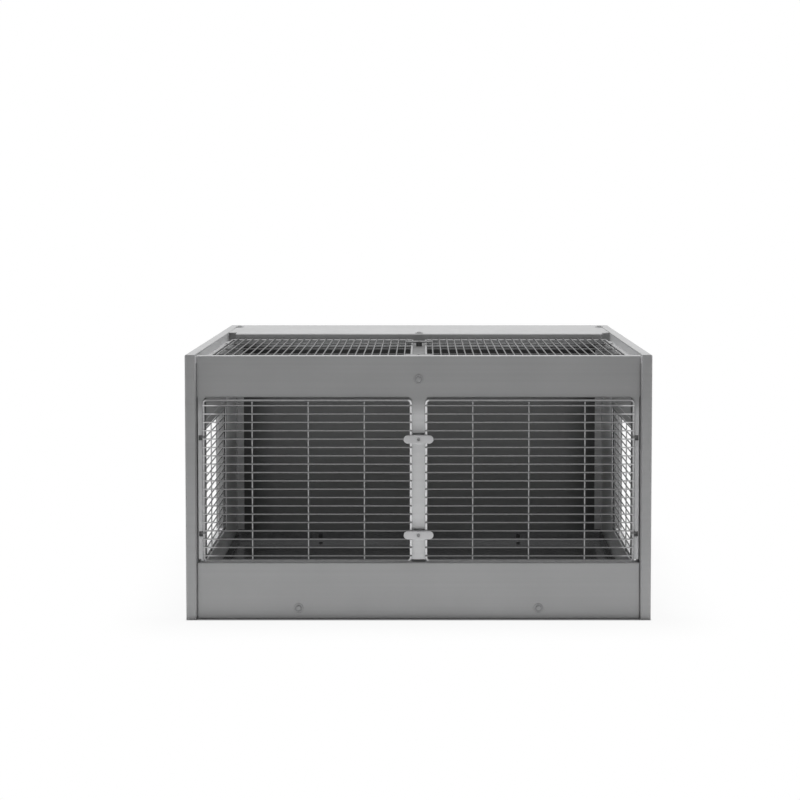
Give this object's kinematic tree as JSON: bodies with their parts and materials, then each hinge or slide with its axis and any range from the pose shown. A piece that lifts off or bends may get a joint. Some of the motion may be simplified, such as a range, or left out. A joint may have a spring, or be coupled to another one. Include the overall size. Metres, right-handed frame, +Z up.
{
  "type": "small animal hutch",
  "caption": "Low board hutch with hinged wire doors in front, hinged wire lids on top, mesh side windows, turn latches and a pull-out litter tray.",
  "frame": {"origin": "on the floor under the middle of the hutch", "axes": "+X to the right seen from the front, +Y to the back, +Z up"},
  "size_m": [1, 0.78, 0.577],
  "materials": {
    "grey_board": "smooth grey board, matt",
    "latch_plastic": "moulded pale grey plastic, satin",
    "zinc_wire": "bright zinc plating",
    "galvanised_sheet": "galvanised, dull",
    "dark_fastener": "dark plated steel"
  },
  "bodies": {
    "hutch": {"front_frame": "grey_board", "back_panel": "grey_board", "roof_plate": "grey_board", "top_centre_bar": "grey_board", "base_cross_rails": "grey_board", "left_side_panel": "grey_board", "right_side_panel": "grey_board", "left_lid_ledge": "grey_board", "right_lid_ledge": "grey_board", "left_tray_runner": "grey_board", "right_tray_runner": "grey_board", "left_window_bars": "zinc_wire", "right_window_bars": "zinc_wire", "left_window_uprights": "zinc_wire", "right_window_uprights": "zinc_wire", "left_rear_corner_angle": "galvanised_sheet", "right_rear_corner_angle": "galvanised_sheet", "left_window_trim": "galvanised_sheet", "right_window_trim": "galvanised_sheet", "left_door_hinge_clips": "galvanised_sheet", "right_door_hinge_clips": "galvanised_sheet", "left_lid_hinge_clips": "galvanised_sheet", "right_lid_hinge_clips": "galvanised_sheet", "frame_screws": "dark_fastener", "door_latch_rivets": "dark_fastener", "lid_latch_rivets": "dark_fastener"},
    "left_door": {"left_door_frame": "zinc_wire", "left_door_bars": "zinc_wire", "left_door_uprights": "zinc_wire"},
    "left_lid": {"left_lid_frame": "zinc_wire", "left_lid_bars": "zinc_wire", "left_lid_cross_wires": "zinc_wire"},
    "right_door": {"right_door_frame": "zinc_wire", "right_door_bars": "zinc_wire", "right_door_uprights": "zinc_wire"},
    "right_lid": {"right_lid_frame": "zinc_wire", "right_lid_bars": "zinc_wire", "right_lid_cross_wires": "zinc_wire"},
    "lower_door_latch_body": {"lower_door_latch": "latch_plastic"},
    "upper_door_latch_body": {"upper_door_latch": "latch_plastic"},
    "front_lid_latch_body": {"front_lid_latch": "latch_plastic"},
    "rear_lid_latch_body": {"rear_lid_latch": "latch_plastic"},
    "tray": {"tray_floor": "galvanised_sheet", "tray_side_flanges": "galvanised_sheet", "tray_end_flanges": "galvanised_sheet", "tray_front_panel": "grey_board", "tray_screws": "dark_fastener"}
  },
  "joints": [
    {"name": "left_door_swing", "type": "hinge", "parent": "hutch", "child": "left_door", "pos_m": [-0.462, -0.3798, 0.3009], "axis": [0, 0, -1], "range_deg": [0, 110]},
    {"name": "left_lid_swing", "type": "hinge", "parent": "hutch", "child": "left_lid", "pos_m": [-0.462, -0.112, 0.5575], "axis": [0, -1, 0], "range_deg": [0, 110]},
    {"name": "right_door_swing", "type": "hinge", "parent": "hutch", "child": "right_door", "pos_m": [0.462, -0.3798, 0.3009], "axis": [0, 0, 1], "range_deg": [0, 110]},
    {"name": "right_lid_swing", "type": "hinge", "parent": "hutch", "child": "right_lid", "pos_m": [0.462, -0.112, 0.5575], "axis": [0, 1, 0], "range_deg": [0, 110]},
    {"name": "lower_door_latch_turn", "type": "hinge", "parent": "hutch", "child": "lower_door_latch_body", "pos_m": [0, -0.377, 0.184], "axis": [0, -1, 0], "range_deg": [0, 90]},
    {"name": "upper_door_latch_turn", "type": "hinge", "parent": "hutch", "child": "upper_door_latch_body", "pos_m": [0, -0.377, 0.391], "axis": [0, -1, 0], "range_deg": [0, 90]},
    {"name": "front_lid_latch_turn", "type": "hinge", "parent": "hutch", "child": "front_lid_latch_body", "pos_m": [0, -0.318, 0.5547], "axis": [0, 0, 1], "range_deg": [0, 90]},
    {"name": "rear_lid_latch_turn", "type": "hinge", "parent": "hutch", "child": "rear_lid_latch_body", "pos_m": [0, 0, 0.5547], "axis": [0, 0, 1], "range_deg": [0, 90]},
    {"name": "tray_slide", "type": "slide", "parent": "hutch", "child": "tray", "axis": [0, -1, 0], "range_m": [0, 0.5]}
  ]
}
